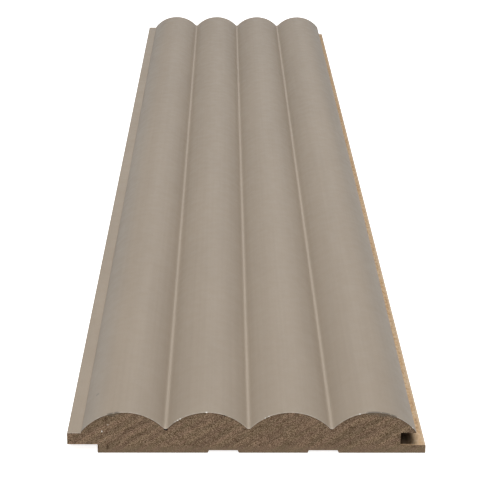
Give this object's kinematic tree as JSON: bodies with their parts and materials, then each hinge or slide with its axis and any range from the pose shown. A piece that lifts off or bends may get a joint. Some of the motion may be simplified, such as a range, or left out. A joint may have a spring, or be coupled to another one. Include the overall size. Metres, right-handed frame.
{
  "type": "mdf wall panel",
  "caption": "Tongue-and-groove wall panel of MDF with a painted face of half-round flutes, square-cut raw ends and shallow relief channels in its raw back.",
  "frame": {"origin": "on the flat back face, under the middle of the board's footprint", "axes": "+Y along the board's length, +Z out of the fluted face, +X across the board from the tongue to the groove"},
  "size_m": [0.1298, 0.7, 0.016],
  "materials": {
    "raw_mdf": "matte",
    "satin_paint": "satin"
  },
  "bodies": {
    "root": {"panel": "raw_mdf"}
  },
  "joints": []
}
